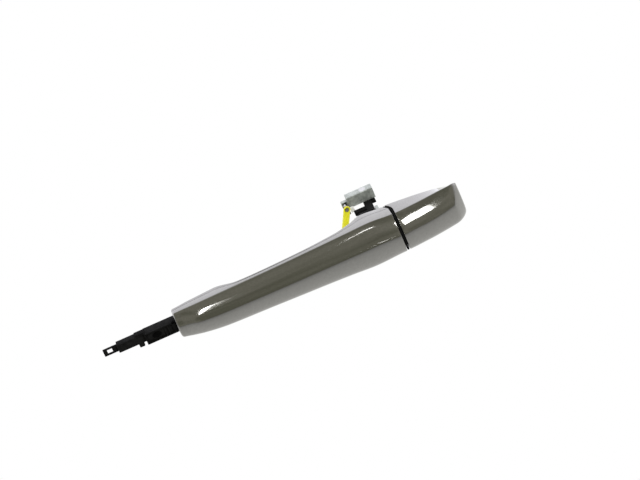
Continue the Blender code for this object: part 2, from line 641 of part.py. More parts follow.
def make_cap():
    """End cap shell, carrier with its boss, gasket and seal, and the captive screw."""
    length = CAP_END_X - CAP_START_X
    sections = []
    for share in [-CAP_HORN / length] + shares(CAP_STATIONS):
        inset = END_INSET if share > 1 - 0.5 / CAP_STATIONS else 0.0
        outline = cap_section(max(share, 0.0), PAD_BACK_Y, inset)
        sections.append((CAP_START_X + length * share, outline))
    shell = loft("end_cap_shell", sections)
    wall = CAP_WALL / length
    hollow = []
    for share in shares(CAP_STATIONS - 4, wall, 1 - wall * 1.6):
        hollow.append((CAP_START_X + length * share, cap_section(share, PAD_BACK_Y + 2 * MM, CAP_WALL)))
    combine(shell, loft("hollow", hollow))
    _, arc = corner_arc(REAR_CORNER + SEAL_WIDTH + 2 * GAP)
    front_x = CAP_START_X - FAR
    outline = arc + [(CAP_START_X, -FAR), (front_x, -FAR), (front_x, arc[0][1])]
    combine(shell, prism("front", outline, -HALF_TALL, HALF_TALL, plane="XY"))
    finish(shell, PAINT, 0.25, 0.5, smooth=True)

    carrier = []
    inset = CAP_WALL + CORE_CLEARANCE
    for share in shares(8, wall * 2.6, 1 - wall * 4.2):
        top = along(CAP_BACK_TOP_Z, share) - inset - 0.6 * MM
        low = along(CAP_LOW_Z, share) + inset + BACK_TAPER_Z
        front = along(CAP_CREASE_Y, share) * CORE_DEEP
        carrier.append((CAP_START_X + length * share,
                        [(PAD_BACK_Y, top), (front, top), (front, low), (PAD_BACK_Y, low)]))
    base = loft("cap_carrier", carrier)
    boss = rod("boss", (BOSS_X, -5 * MM, BOSS_Z), (BOSS_X, BOSS_DEPTH, BOSS_Z), BOSS_RADIUS, 24)
    combine(base, boss, "UNION")
    nut_radius = CAP_SCREW_RADIUS + INSERT_WALL
    seat_y = BOSS_DEPTH - INSERT_LENGTH
    combine(base, rod("seat", (BOSS_X, seat_y, BOSS_Z), (BOSS_X, BOSS_DEPTH + MM, BOSS_Z),
                      nut_radius + GAP, 24))
    bore_end = BOSS_DEPTH - CAP_SCREW_LENGTH - 2 * MM
    bore = rod("bore", (BOSS_X, bore_end, BOSS_Z), (BOSS_X, BOSS_DEPTH, BOSS_Z), CAP_SCREW_RADIUS + GAP)
    combine(base, bore)
    finish(base, BLACK, 0.55)
    nut_start = (BOSS_X, BOSS_DEPTH - INSERT_LENGTH + GAP, BOSS_Z)
    nut = rod("cap_insert", nut_start, (BOSS_X, BOSS_DEPTH, BOSS_Z), nut_radius, 24)
    combine(nut, rod("hole", (BOSS_X, 0, BOSS_Z), (BOSS_X, BOSS_DEPTH + MM, BOSS_Z), CAP_SCREW_RADIUS + GAP))
    finish(nut, (0.7, 0.55, 0.3), 0.35, 1.0, smooth=True)
    washer_y = BOSS_DEPTH + GAP
    head_y = washer_y + WASHER_THICKNESS + GAP
    washer_end = (BOSS_X, washer_y + WASHER_THICKNESS, BOSS_Z)
    washer = rod("cap_washer", (BOSS_X, washer_y, BOSS_Z), washer_end, WASHER_RADIUS, 24)
    combine(washer, rod("hole", (BOSS_X, 0, BOSS_Z), (BOSS_X, head_y, BOSS_Z), CAP_SCREW_RADIUS + GAP))
    finish(washer, STEEL, 0.35, 1.0, smooth=True)
    tip = (BOSS_X, head_y - CAP_SCREW_LENGTH, BOSS_Z)
    screw = rod("cap_screw", tip, (BOSS_X, head_y + MM, BOSS_Z), CAP_SCREW_RADIUS)
    head_end = (BOSS_X, head_y + CAP_SCREW_HEAD_HEIGHT, BOSS_Z)
    head = rod("head", (BOSS_X, head_y, BOSS_Z), head_end, CAP_SCREW_HEAD_RADIUS, 24)
    combine(screw, head, "UNION")
    socket_start = (BOSS_X, head_y + CAP_SCREW_HEAD_HEIGHT * 0.4, BOSS_Z)
    socket_end = (BOSS_X, head_y + CAP_SCREW_HEAD_HEIGHT + MM, BOSS_Z)
    combine(screw, rod("socket", socket_start, socket_end, CAP_SCREW_HEAD_RADIUS * 0.48, 6))
    finish(screw, STEEL, 0.35, 1.0, smooth=True)

    pad = gasket("cap_gasket", CAP_START_X + 3 * MM, CAP_END_X - 3 * MM, along(CAP_LOW_Z, 0.9) + 4 * MM,
                 along(CAP_BACK_TOP_Z, 1.0) - 1.4 * MM)
    combine(pad, rod("hole", (BOSS_X, -5 * MM, BOSS_Z), (BOSS_X, 5 * MM, BOSS_Z), BOSS_RADIUS + GAP, 24))
    make_seal()
    return base, shell


def main():
    """Build the handle."""
    clear_scene()
    shell, tray, core = make_grip()
    cut_rear_corner((shell, tray))
    arm = make_arm(shell)
    leg = make_leg(tray)
    block = make_hook()
    make_block_screw(block, leg)
    arm_place = (GRIP_START_X + ARM_SCREW_INSET, ARM_CENTRE_Z)
    fasten("arm_screw", arm_place, TONGUE_FRONT_Y + MM, PAD_BACK_Y, [tray], [arm], True)
    leg_place = (LEG_X, LEG_TOP_Z - LEG_HEIGHT / 2)
    leg_share = (LEG_X - GRIP_START_X) / GRIP_LENGTH
    fasten("leg_screw", leg_place, core_front(leg_share) - GAP, 4.0 * MM, [core], [leg], False)
    finish(arm, BLACK, 0.6)
    front_x = grip_x(0.155)
    rear_x = grip_x(0.875)
    for name, x in (("shell_screw_front", front_x), ("shell_screw_rear", rear_x)):
        share = (x - GRIP_START_X) / GRIP_LENGTH
        front_y = split_y(share) - 5.0 * MM
        fasten(name, (x, -2.0 * MM), front_y, PAD_BACK_Y, [tray], [core], True)
    finish(shell, PAINT, 0.25, 0.5, smooth=True)
    finish(tray, PAINT, 0.3, 0.5)
    finish(core, BLACK, 0.6)
    gasket("front_gasket", GRIP_START_X + 5 * MM, grip_x(0.2) - 3 * MM, FRONT_PAD_LOW_Z, FRONT_PAD_HIGH_Z)
    rear_end = GRIP_END_X - REAR_CORNER + MM
    rear_top = along(GRIP_TOP_Z, 0.9) + BACK_RISE_Z / 2
    rear = gasket("rear_gasket", grip_x(REAR_PAD_SHARE), rear_end, -REAR_PAD_DROP, rear_top)
    combine(rear, leg_hole(-GASKET_THICKNESS - MM, rear_end + MM))
    make_cap()


main()
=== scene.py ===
"""Looks of a pull-type car door handle: painted shells, mouldings, die-cast hook and finishes."""

import json
import logging
import math
from dataclasses import dataclass, field
from enum import Enum

import bmesh
import bpy
from mathutils import Matrix, Vector


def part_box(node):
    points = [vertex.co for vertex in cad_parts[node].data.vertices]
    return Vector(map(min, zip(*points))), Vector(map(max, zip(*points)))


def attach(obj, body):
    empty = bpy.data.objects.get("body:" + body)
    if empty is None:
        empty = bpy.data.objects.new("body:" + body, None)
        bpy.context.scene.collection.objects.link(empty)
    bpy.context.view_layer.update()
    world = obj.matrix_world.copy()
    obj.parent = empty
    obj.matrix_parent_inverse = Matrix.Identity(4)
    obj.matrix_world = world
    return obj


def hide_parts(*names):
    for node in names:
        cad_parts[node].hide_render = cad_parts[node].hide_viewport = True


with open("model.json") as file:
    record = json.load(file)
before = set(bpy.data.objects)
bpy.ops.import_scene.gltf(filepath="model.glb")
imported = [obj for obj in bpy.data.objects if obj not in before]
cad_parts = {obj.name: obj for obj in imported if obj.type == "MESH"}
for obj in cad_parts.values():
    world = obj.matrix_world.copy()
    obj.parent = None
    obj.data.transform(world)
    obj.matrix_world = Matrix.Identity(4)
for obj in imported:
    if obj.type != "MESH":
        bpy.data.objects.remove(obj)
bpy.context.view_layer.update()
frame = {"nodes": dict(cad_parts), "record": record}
LOG = logging.getLogger("door_handle")
MM = 0.001
CAP_GAP = 0.3 * MM
HOLE_SIDES = 24
SHARP_ANGLE = 1.2
Line = tuple[tuple[float, float], ...]
Outline = list[tuple[float, float]]


class Body(Enum):
    """Rigid bodies of the handle."""

    CAP = "cap"
    GRIP = "grip"
    TAG = "tag"


class Slot(Enum):
    """Finish slots of the record."""

    PAINT = "paint"
    BLACK = "black_moulding"
    STEEL = "steel"
    RUBBER = "rubber"
    ZINC = "zinc"
    DARK = "dark_clip"
    NYLON = "nylon"
    BRASS = "brass"
    TAG = "yellow_tag"


def corner(node: str, high: bool) -> Vector:
    """Corner of a CAD node's box.

    Args:
        node: the node's name.
        high: the highest corner, and otherwise the lowest.

    Returns:
        The corner.
    """
    return Vector(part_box(node)[1 if high else 0])


def slope_at(line: Line, k: int) -> float:
    """Slope of a section line at its point k, flat at a turning point.

    Args:
        line: points of share and size.
        k: index of the point.

    Returns:
        The slope there.
    """
    if k in (0, len(line) - 1):
        return 0.0
    before = (line[k][1] - line[k - 1][1]) / (line[k][0] - line[k - 1][0])
    after = (line[k + 1][1] - line[k][1]) / (line[k + 1][0] - line[k][0])
    if before * after <= 0:
        return 0.0
    return 2 * before * after / (before + after)


def along(line: Line, share: float) -> float:
    """Read a section line in metres at a share of the length.

    Args:
        line: points of share and millimetres.
        share: place along the piece, from 0 to 1.

    Returns:
        The smooth value there, in metres.
    """
    share = min(max(share, 0.0), 1.0)
    for k in range(len(line) - 1):
        (a, low), (b, high) = line[k], line[k + 1]
        if share <= b:
            t = (share - a) / (b - a)
            width = b - a
            rise = (2 * t**3 - 3 * t**2 + 1) * low + (3 * t**2 - 2 * t**3) * high
            lean = (t**3 - 2 * t**2 + t) * slope_at(line, k) + (t**3 - t**2) * slope_at(line, k + 1)
            return (rise + lean * width) * MM
    return line[-1][1] * MM


def smooth_step(value: float) -> float:
    """Smooth step from 0 to 1.

    Args:
        value: any number.

    Returns:
        The step's height there.
    """
    t = min(max(value, 0.0), 1.0)
    return t * t * (3 - 2 * t)


def swell(t: float, crown: float = 0.5) -> float:
    """Bulge of the outer face: a slope, the crown, then a round lower part.

    Args:
        t: place on the face, from 0 to 1.
        crown: place of the crown.

    Returns:
        Share of the full bulge.
    """
    if t < crown:
        return 1.0 - (1.0 - t / crown) ** 2
    return math.sqrt(max(0.0, 1.0 - ((t - crown) / (1.0 - crown)) ** 2))


def loft(rings: list[list[Vector]]) -> bmesh.types.BMesh:
    """Skin through closed rings, bridged one after the other and closed at both ends.

    Args:
        rings: closed loops of points.

    Returns:
        The bmesh.
    """
    work = bmesh.new()
    loops = []
    for ring in rings:
        verts = [work.verts.new(p) for p in ring]
        edges = [work.edges.new((verts[k - 1], verts[k])) for k in range(len(verts))]
        loops.append((verts, edges))
    for (_, first), (_, second) in zip(loops, loops[1:]):
        bmesh.ops.bridge_loops(work, edges=first + second)
    for verts, _ in (loops[0], loops[-1]):
        bmesh.ops.contextual_create(work, geom=verts)
    bmesh.ops.recalc_face_normals(work, faces=work.faces)
    return work


def tub(outside: list[list[Vector]], inside: list[list[Vector]]) -> bmesh.types.BMesh:
    """Walled shell between two skins, open along the closing side of their rings.

    Args:
        outside: rings of the outer skin.
        inside: as many rings of the inner skin, with as many points.

    Returns:
        The bmesh.
    """
    work = bmesh.new()
    for rings in (outside, inside):
        skin = loft(rings)
        count = len(rings[0])
        skin.verts.index_update()
        open_side = [f for f in skin.faces if all(v.index % count in (0, count - 1) for v in f.verts)]
        bmesh.ops.delete(skin, geom=open_side, context="FACES")
        if rings is inside:
            bmesh.ops.reverse_faces(skin, faces=skin.faces)
        mesh = bpy.data.meshes.new("skin")
        skin.to_mesh(mesh)
        skin.free()
        work.from_mesh(mesh)
        bpy.data.meshes.remove(mesh)
    bmesh.ops.bridge_loops(work, edges=[e for e in work.edges if e.is_boundary])
    return work


def block(work: bmesh.types.BMesh, low: Vector, high: Vector, radius: float, segments: int = 2) -> None:
    """Add a box with rounded edges between two corners.

    Args:
        work: the bmesh that grows.
        low: lowest corner.
        high: highest corner.
        radius: edge radius.
        segments: steps of the rounding.
    """
    size = Vector(high) - Vector(low)
    place = Matrix.Translation((Vector(low) + Vector(high)) / 2) @ Matrix.Diagonal((*size, 1.0))
    made = bmesh.ops.create_cube(work, size=1.0, matrix=place)
    edges = list({e for v in made["verts"] for e in v.link_edges})
    round_edges(work, edges, radius, segments)


def round_edges(work: bmesh.types.BMesh, edges: list, radius: float, segments: int = 2) -> None:
    """Round some edges of a bmesh.

    Args:
        work: the bmesh.
        edges: the edges.
        radius: radius of the rounding.
        segments: steps of the rounding.
    """
    bmesh.ops.bevel(work, geom=edges, offset=radius, offset_type="OFFSET", segments=segments,
                    profile=0.5, affect="EDGES", material=-1, clamp_overlap=True)


def plate(work: bmesh.types.BMesh, outline: Outline, depth: tuple[float, float], hole: float = 0.0,
          radius: float = 0.2 * MM) -> None:
    """Add a flat plate in the XZ plane, with an optional round hole about the outline's origin point.

    Args:
        work: the bmesh that grows.
        outline: points of x and z.
        depth: y of the two faces.
        hole: radius of a hole at the outline's origin, or 0.
        radius: edge radius.
    """
    verts = [work.verts.new((x, depth[0], z)) for x, z in outline]
    edges = [work.edges.new((verts[k - 1], verts[k])) for k in range(len(verts))]
    if hole:
        place = Matrix.Translation((0, depth[0], 0)) @ Matrix.Rotation(math.pi / 2, 4, "X")
        made = bmesh.ops.create_circle(work, segments=HOLE_SIDES, radius=hole, matrix=place)
        edges += list({e for v in made["verts"] for e in v.link_edges})
    made = bmesh.ops.triangle_fill(work, edges=edges, use_beauty=True)
    faces = [g for g in made["geom"] if isinstance(g, bmesh.types.BMFace)]
    grown = bmesh.ops.extrude_face_region(work, geom=faces, use_keep_orig=True)
    moved = [g for g in grown["geom"] if isinstance(g, bmesh.types.BMVert)]
    bmesh.ops.translate(work, verts=moved, vec=(0, depth[1] - depth[0], 0))
    bmesh.ops.recalc_face_normals(work, faces=work.faces)
    sharp = [e for e in work.edges if len(e.link_faces) == 2 and e.calc_face_angle() > SHARP_ANGLE]
    round_edges(work, sharp, radius, 2)


def settle(work: bmesh.types.BMesh, name: str, angle: float = 40.0) -> bpy.types.Object:
    """Turn a bmesh into a smooth-shaded, linked object.

    Args:
        work: the finished bmesh, freed here.
        name: the piece's name.
        angle: edges sharper than this stay sharp, in degrees.

    Returns:
        The object.
    """
    mesh = bpy.data.meshes.new(name)
    work.to_mesh(mesh)
    work.free()
    mesh.shade_smooth()
    mesh.set_sharp_from_angle(angle=math.radians(angle))
    piece = bpy.data.objects.new(name, mesh)
    bpy.context.scene.collection.objects.link(piece)
    return piece


def place_piece(piece: bpy.types.Object, body: Body, slot: Slot, material: bpy.types.Material,
                *nodes: str) -> None:
    """Dress a piece, let it ride on its body and stand for its CAD nodes.

    Args:
        piece: the piece.
        body: the body it rides on.
        slot: its finish slot; not used.
        material: its material.
        nodes: the CAD nodes that it replaces.
    """
    piece.data.materials.clear()
    piece.data.materials.append(material)
    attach(piece, body.value)
    if nodes:
        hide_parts(*nodes)
    LOG.info("%s: %d faces on %s", piece.name, len(piece.data.polygons), body.value)


class Effects:
    """Shader node groups that several finishes share."""

    def __init__(self) -> None:
        """Make the groups once."""
        self.speckle = self._speckle()
        self.wear = self._wear()

    @staticmethod
    def _group(name: str, inputs: dict[str, float], outputs: tuple[str, ...]) -> tuple:
        """Start a node group with float inputs and outputs.

        Args:
            name: the group's name.
            inputs: input names with their defaults.
            outputs: output names.

        Returns:
            The tree, its input node and its output node.
        """
        tree = bpy.data.node_groups.new(name, "ShaderNodeTree")
        for label, value in inputs.items():
            socket = tree.interface.new_socket(label, in_out="INPUT", socket_type="NodeSocketFloat")
            socket.default_value = value
        for label in outputs:
            tree.interface.new_socket(label, in_out="OUTPUT", socket_type="NodeSocketFloat")
        return tree, tree.nodes.new("NodeGroupInput"), tree.nodes.new("NodeGroupOutput")

    def _speckle(self) -> bpy.types.NodeTree:
        """Fine grain: a mask of small cells and the height of an uneven surface."""
        tree, enter, leave = self._group("fine_grain", {"Scale": 900.0, "Patch": 120.0}, ("Mask", "Height"))
        coords = tree.nodes.new("ShaderNodeTexCoord")
        cells = tree.nodes.new("ShaderNodeTexVoronoi")
        waves = tree.nodes.new("ShaderNodeTexNoise")
        waves.inputs["Detail"].default_value = 4.0
        tree.links.new(coords.outputs["Object"], cells.inputs["Vector"])
        tree.links.new(coords.outputs["Object"], waves.inputs["Vector"])
        tree.links.new(enter.outputs["Scale"], cells.inputs["Scale"])
        tree.links.new(enter.outputs["Patch"], waves.inputs["Scale"])
        split = tree.nodes.new("ShaderNodeSeparateColor")
        tree.links.new(cells.outputs["Color"], split.inputs[0])
        tree.links.new(split.outputs[0], leave.inputs["Mask"])
        tree.links.new(waves.outputs["Fac"], leave.inputs["Height"])
        return tree

    def _wear(self) -> bpy.types.NodeTree:
        """Rubbed edges: a mask from the surface's pointiness, broken up by noise."""
        sizes = {"Start": 0.52, "End": 0.6, "Scale": 300.0}
        tree, enter, leave = self._group("rubbed_edges", sizes, ("Mask",))
        shape = tree.nodes.new("ShaderNodeNewGeometry")
        coords = tree.nodes.new("ShaderNodeTexCoord")
        noise = tree.nodes.new("ShaderNodeTexNoise")
        ramp = tree.nodes.new("ShaderNodeMapRange")
        product = tree.nodes.new("ShaderNodeMath")
        product.operation = "MULTIPLY"
        tree.links.new(coords.outputs["Object"], noise.inputs["Vector"])
        tree.links.new(enter.outputs["Scale"], noise.inputs["Scale"])
        tree.links.new(shape.outputs["Pointiness"], ramp.inputs["Value"])
        tree.links.new(enter.outputs["Start"], ramp.inputs["From Min"])
        tree.links.new(enter.outputs["End"], ramp.inputs["From Max"])
        tree.links.new(ramp.outputs["Result"], product.inputs[0])
        tree.links.new(noise.outputs["Fac"], product.inputs[1])
        tree.links.new(product.outputs["Value"], leave.inputs["Mask"])
        return tree


@dataclass(frozen=True)
class ColourMix:
    """Colour sockets of a mix node."""

    low: bpy.types.NodeSocket
    result: bpy.types.NodeSocket


def mix_colours(tree: bpy.types.NodeTree, mask: bpy.types.NodeSocket, low: tuple | None,
                high: tuple) -> ColourMix:
    """Mix two colours by a mask.

    Args:
        tree: the nodes.
        mask: the mask's socket.
        low: colour where the mask is 0, or None when it is linked later.
        high: colour where the mask is 1.

    Returns:
        The first colour's socket and the result's.
    """
    node = tree.nodes.new("ShaderNodeMix")
    node.data_type = "RGBA"
    tree.links.new(mask, node.inputs["Factor"])
    colours = [s for s in node.inputs if s.type == "RGBA"]
    if low is not None:
        colours[0].default_value = (*low, 1.0)
    colours[1].default_value = (*high, 1.0)
    return ColourMix(colours[0], next(s for s in node.outputs if s.type == "RGBA"))


@dataclass(frozen=True)
class Finish:
    """One procedural finish, with its colours, gloss and relief."""

    name: str
    dark: tuple[float, float, float]
    light: tuple[float, float, float]
    rubbed: tuple[float, float, float]
    metallic: float
    roughness: float
    roughness_spread: float
    grain: float
    patch: float
    relief: float
    relief_depth: float
    coat: float = 0.0
    specular: float = 0.5
    coat_roughness: float = 0.02

    def build(self, effects: Effects) -> bpy.types.Material:
        """Make the material.

        Args:
            effects: the shared node groups.

        Returns:
            The material.
        """
        material = bpy.data.materials.new(self.name)
        material.use_nodes = True
        tree = material.node_tree
        shader = tree.nodes["Principled BSDF"]
        grain = tree.nodes.new("ShaderNodeGroup")
        grain.node_tree = effects.speckle
        grain.inputs["Scale"].default_value = self.grain
        grain.inputs["Patch"].default_value = self.patch
        wear = tree.nodes.new("ShaderNodeGroup")
        wear.node_tree = effects.wear
        base = mix_colours(tree, grain.outputs["Mask"], self.dark, self.light)
        worn = mix_colours(tree, wear.outputs["Mask"], None, self.rubbed)
        tree.links.new(base.result, worn.low)
        tree.links.new(worn.result, shader.inputs["Base Color"])
        gloss = tree.nodes.new("ShaderNodeMapRange")
        gloss.inputs["To Min"].default_value = self.roughness - self.roughness_spread
        gloss.inputs["To Max"].default_value = self.roughness + self.roughness_spread
        tree.links.new(grain.outputs["Height"], gloss.inputs["Value"])
        tree.links.new(gloss.outputs["Result"], shader.inputs["Roughness"])
        bump = tree.nodes.new("ShaderNodeBump")
        bump.inputs["Strength"].default_value = self.relief
        bump.inputs["Distance"].default_value = self.relief_depth
        tree.links.new(grain.outputs["Height"], bump.inputs["Height"])
        tree.links.new(bump.outputs["Normal"], shader.inputs["Normal"])
        shader.inputs["Metallic"].default_value = self.metallic
        shader.inputs["Coat Weight"].default_value = self.coat
        shader.inputs["Coat Roughness"].default_value = self.coat_roughness
        shader.inputs["Specular IOR Level"].default_value = self.specular
        return material


FINISHES = {
    Slot.PAINT: Finish("paint", (0.165, 0.162, 0.153), (0.255, 0.251, 0.24), (0.28, 0.275, 0.265),
                       0.94, 0.09, 0.015, 4200.0, 60.0, 0.04, 0.02 * MM, coat=1.0),
    Slot.BLACK: Finish("black_moulding", (0.002, 0.002, 0.002), (0.0045, 0.0045, 0.0045),
                       (0.02, 0.02, 0.02), 0.0, 0.5, 0.12, 2200.0, 900.0, 0.2, 0.05 * MM, specular=0.01),
    Slot.STEEL: Finish("steel", (0.26, 0.26, 0.255), (0.4, 0.4, 0.395), (0.55, 0.55, 0.55), 1.0, 0.3, 0.1,
                       2600.0, 700.0, 0.12, 0.03 * MM),
    Slot.RUBBER: Finish("rubber", (0.003, 0.003, 0.003), (0.007, 0.007, 0.007), (0.02, 0.02, 0.02), 0.0, 0.75,
                        0.1, 1800.0, 800.0, 0.35, 0.06 * MM, specular=0.03),
    Slot.ZINC: Finish("zinc", (0.15, 0.17, 0.16), (0.36, 0.39, 0.37), (0.5, 0.52, 0.5), 0.4, 0.5, 0.12,
                      420.0, 500.0, 0.35, 0.15 * MM),
    Slot.DARK: Finish("dark_clip", (0.05, 0.03, 0.02), (0.1, 0.07, 0.05), (0.3, 0.25, 0.2), 0.8, 0.4, 0.1,
                      1500.0, 700.0, 0.2, 0.04 * MM),
    Slot.NYLON: Finish("nylon", (0.7, 0.7, 0.66), (0.82, 0.82, 0.78), (0.9, 0.9, 0.88), 0.0, 0.45, 0.08,
                       1500.0, 500.0, 0.15, 0.05 * MM),
    Slot.BRASS: Finish("brass", (0.6, 0.45, 0.2), (0.75, 0.58, 0.3), (0.9, 0.75, 0.45), 1.0, 0.32, 0.1,
                       2400.0, 700.0, 0.12, 0.03 * MM),
    Slot.TAG: Finish("yellow_tag", (0.86, 0.82, 0.0), (1.0, 0.95, 0.01), (1.0, 1.0, 0.2), 0.0, 0.42, 0.08,
                     1300.0, 500.0, 0.18, 0.05 * MM),
}


@dataclass
class PaintedShells:
    """Grip shells and end cap, lofted through their section lines."""

    grip_end: float = field(default_factory=lambda: corner("grip_outer_shell", True).x)
    grip_start: float = field(default_factory=lambda: corner("grip_outer_shell", False).x)
    cap_start: float = field(default_factory=lambda: corner("joint_seal", True).x + CAP_GAP)
    cap_end: float = field(default_factory=lambda: corner("end_cap_shell", True).x)
    pad_back: float = -2.1 * MM
    corner_radius: float = 10.0 * MM
    seal_room: float = 2.6 * MM
    seal_gap: float = 0.45 * MM
    seal_inset: float = 0.1 * MM
    seal_setback: float = 1.1 * MM
    low_step: float = 3.0 * MM
    back_taper: float = 1.0 * MM
    back_rise: float = 0.8 * MM
    back_share: float = 0.38
    parting: float = 0.15 * MM
    crease_round: float = 0.55 * MM
    wall: float = 2.2 * MM
    front_round: float = 2.0 * MM
    rear_round: float = 0.4 * MM
    cap_round: float = 5.0 * MM
    cap_round_share: float = 0.7
    crease_steps: int = 6
    crease_segments: int = 3
    rear_blend: float = 0.8
    cap_blend: float = 0.35
    back_soft: float = 1.6 * MM
    back_soft_share: float = 0.45
    low_front_share: float = 0.4
    back_steps: int = 5
    end_steps: int = 6
    seal_steps: int = 6
    shell_angle: float = 50.0
    seal_angle: float = 60.0
    stations: int = 72
    face_steps: int = 22
    grip_crease: Line = ((0.0, -8.6), (0.1, -11.0), (0.21, -12.6), (0.41, -15.0), (0.57, -16.6),
                         (0.8, -17.8), (1.0, -18.2))
    grip_back: Line = ((0.0, 0.0), (0.2, 0.0), (0.3, -7.6), (0.42, -9.6), (0.6, -10.6), (0.74, -9.0),
                       (0.83, -4.0), (0.87, -0.4), (0.9, 0.0), (1.0, 0.0))
    grip_top: Line = ((0.0, 8.6), (0.08, 10.0), (0.21, 11.6), (0.41, 13.5), (0.57, 15.2), (0.8, 17.4),
                      (0.9, 18.2), (1.0, 17.0))
    grip_low: Line = ((0.0, -13.4), (0.05, -14.8), (0.21, -17.3), (0.41, -17.0), (0.6, -17.2), (0.75, -17.9),
                      (0.86, -19.0), (1.0, -17.6))
    grip_bulge: Line = ((0.0, 4.6), (0.1, 7.4), (0.3, 8.6), (0.7, 9.2), (1.0, 9.4))
    cap_crease: Line = ((0.0, -18.2), (0.3, -15.8), (0.6, -12.2), (0.85, -8.8), (1.0, -6.2))
    cap_top: Line = ((0.0, 16.6), (0.4, 15.6), (0.75, 14.6), (1.0, 13.6))
    cap_back_top: Line = ((0.0, 17.2), (0.3, 15.6), (0.6, 13.6), (1.0, 10.0))
    cap_low: Line = ((0.0, -17.2), (0.5, -18.1), (0.8, -18.4), (1.0, -16.4))
    cap_bulge: Line = ((0.0, 9.4), (0.5, 9.2), (0.85, 7.6), (1.0, 4.0))

    def split(self, share: float) -> float:
        """Depth of the parting line between the grip's two shells.

        Args:
            share: place along the grip.

        Returns:
            The depth.
        """
        back = self.pad_back + along(self.grip_back, share)
        return back + (along(self.grip_crease, share) - back) * self.back_share

    def face(self, crease: Vector, low: Vector, bulge: float) -> list[Vector]:
        """Outer face from the crease to the lower corner.

        Args:
            crease: y and z of the crease.
            low: y and z of the lower corner.
            bulge: how far the crown stands out.

        Returns:
            Points of y and z.
        """
        points = []
        for k in range(self.face_steps + 1):
            t = math.sin(math.pi / 2 * k / self.face_steps)
            point = crease.lerp(low, t)
            points.append(Vector((point.x - bulge * swell(t), point.y)))
        return points

    @staticmethod
    def end_inset(distance: float, radius: float) -> float:
        """Inset of a section near a rounded end.

        Args:
            distance: how far the section lies from the end.
            radius: radius of the rounding.

        Returns:
            The inset.
        """
        if distance >= radius:
            return 0.0
        return radius - math.sqrt(max(0.0, radius**2 - (radius - distance) ** 2))

    def ends(self, start: float, end: float, radii: tuple[float, float]) -> list[float]:
        """Places of the sections, closer together in the rounded ends.

        Args:
            start: first place.
            end: last place.
            radii: radius of the rounding at each end.

        Returns:
            The places.
        """
        steps = self.end_steps
        places = [start + radii[0] * (1 - math.cos(math.pi / 2 * k / steps)) for k in range(steps)]
        inner = self.stations
        low, high = start + radii[0], end - radii[1]
        places += [low + (high - low) * k / inner for k in range(inner + 1)]
        places += [end - radii[1] * (1 - math.cos(math.pi / 2 * k / steps)) for k in reversed(range(steps))]
        return places

    def corner_pull(self, y: float, radius: float) -> float:
        """How far the rear corner's arc lies short of its side.

        Args:
            y: depth.
            radius: radius of the arc.

        Returns:
            The distance.
        """
        rise = max(0.0, y - (self.pad_back - self.corner_radius))
        return radius - math.sqrt(max(0.0, radius**2 - min(rise, radius) ** 2))

    def grip_share(self, x: float) -> float:
        """Share of the grip's length at x.

        Args:
            x: place along the grip.

        Returns:
            The share.
        """
        return (x - self.grip_start) / (self.grip_end - self.grip_start)

    def grip_inset(self, x: float, front_radius: float, rear_radius: float) -> float:
        """Inset of the grip's section at x from its rounded ends.

        Args:
            x: place along the grip.
            front_radius: rounding of the front end.
            rear_radius: rounding of the rear end.

        Returns:
            The inset.
        """
        front = self.end_inset(x - self.grip_start, front_radius)
        return front + self.end_inset(self.grip_end - x, rear_radius)

    def grip_ring(self, x: float, outline: list[Vector]) -> list[Vector]:
        """Put an outline at x, drawn back where the rear corner is round.

        Args:
            x: place along the grip.
            outline: points of y and z.

        Returns:
            The ring.
        """
        near = smooth_step((self.grip_share(x) - self.rear_blend) / (1.0 - self.rear_blend))
        radius = self.corner_radius
        return [Vector((x - self.corner_pull(p.x, radius) * near, p.x, p.y)) for p in outline]

    def outer_outline(self, x: float, inset: float) -> list[Vector]:
        """Outline of the grip's front part.

        Args:
            x: place along the grip.
            inset: how much smaller the outline is.

        Returns:
            Points of y and z.
        """
        share = self.grip_share(x)
        crease = Vector((along(self.grip_crease, share) + inset, along(self.grip_top, share) - inset))
        low = Vector((crease.x - self.low_step, along(self.grip_low, share) + inset))
        back = self.split(share) - self.parting
        outline = [Vector((back, crease.y + self.back_rise * self.back_share))]
        outline += self.face(crease, low, along(self.grip_bulge, share))
        return outline + [Vector((back, low.y + self.back_taper))]

    def inner_outline(self, x: float, inset: float) -> list[Vector]:
        """Outline of the grip's back part.

        Args:
            x: place along the grip.
            inset: how much smaller the outline is.

        Returns:
            Points of y and z.
        """
        share = self.grip_share(x)
        front = self.split(share) + self.parting
        back = self.pad_back + along(self.grip_back, share)
        top = along(self.grip_top, share) - inset + self.back_rise
        low = along(self.grip_low, share) + inset + self.back_taper
        soft = min(self.back_soft, (back - front) * self.back_soft_share)
        outline = [Vector((front, top - self.back_rise * (1 - self.back_share))),
                   Vector((front, low - self.back_taper * self.low_front_share))]
        turns = [math.pi / 2 * k / self.back_steps for k in range(self.back_steps + 1)]
        centre = back - soft
        outline += [Vector((centre + soft * math.sin(a), low + soft - soft * math.cos(a))) for a in turns]
        outline += [Vector((centre + soft * math.cos(a), top - soft + soft * math.sin(a))) for a in turns]
        return outline

    def cap_outline(self, share: float, back: float, inset: float) -> list[Vector]:
        """Closed outline of the end cap at a share of its length.

        Args:
            share: place along the cap.
            back: depth of the back edge.
            inset: how much smaller the outline is.

        Returns:
            Points of y and z.
        """
        crease = Vector((along(self.cap_crease, share) + inset, along(self.cap_top, share) - inset))
        low = Vector((crease.x - self.low_step, along(self.cap_low, share) + inset))
        outline = [Vector((back, along(self.cap_back_top, share) - inset))]
        steps = self.crease_steps
        outline += [outline[0].lerp(crease, k / steps) for k in range(1, steps)]
        outline += self.face(crease, low, along(self.cap_bulge, share))
        back_low = Vector((back, low.y + self.back_taper))
        return outline + [low.lerp(back_low, k / steps) for k in range(1, steps + 1)]

